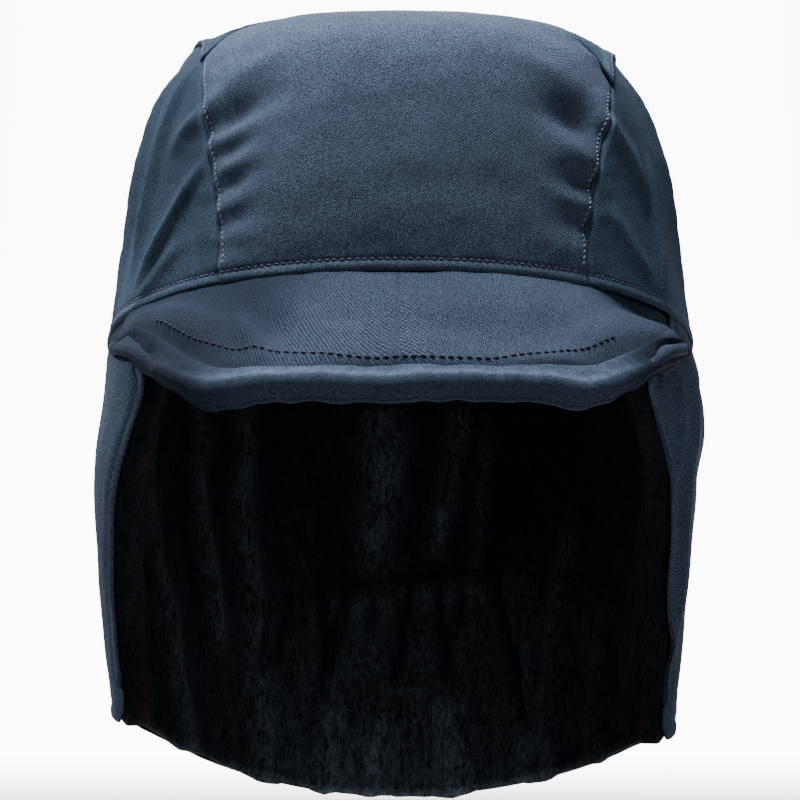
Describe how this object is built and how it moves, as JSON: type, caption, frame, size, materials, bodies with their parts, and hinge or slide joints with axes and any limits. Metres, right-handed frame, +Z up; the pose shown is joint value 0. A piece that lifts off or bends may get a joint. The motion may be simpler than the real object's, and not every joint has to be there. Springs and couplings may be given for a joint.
{
  "type": "winter work cap",
  "caption": "Winter work cap with a panelled twill crown, a short soft peak with a bound edge and a fleece-lined flap over the ears and neck, in the form it has when worn.",
  "frame": {"origin": "inside top of the crown, where the top of the head touches the lining", "axes": "+Z up, -Y the way the peak and the wearer's face point, +X towards the wearer's left"},
  "size_m": [0.1964, 0.2648, 0.2609],
  "materials": {
    "shell_twill": "matte diagonal twill",
    "peak_twill": "matte diagonal twill",
    "flap_twill": "matte diagonal twill",
    "pile": "short dense pile"
  },
  "bodies": {
    "root": {"crown_front_panel": "shell_twill", "crown_side_panel_left": "shell_twill", "crown_side_panel_right": "shell_twill", "crown_top_panel": "shell_twill", "crown_lining_left": "pile", "crown_lining_right": "pile", "crown_lining_top": "pile", "peak": "peak_twill", "peak_binding": "peak_twill", "flap_shell": "flap_twill", "flap_lining_left": "pile", "flap_lining_right": "pile"}
  },
  "joints": []
}
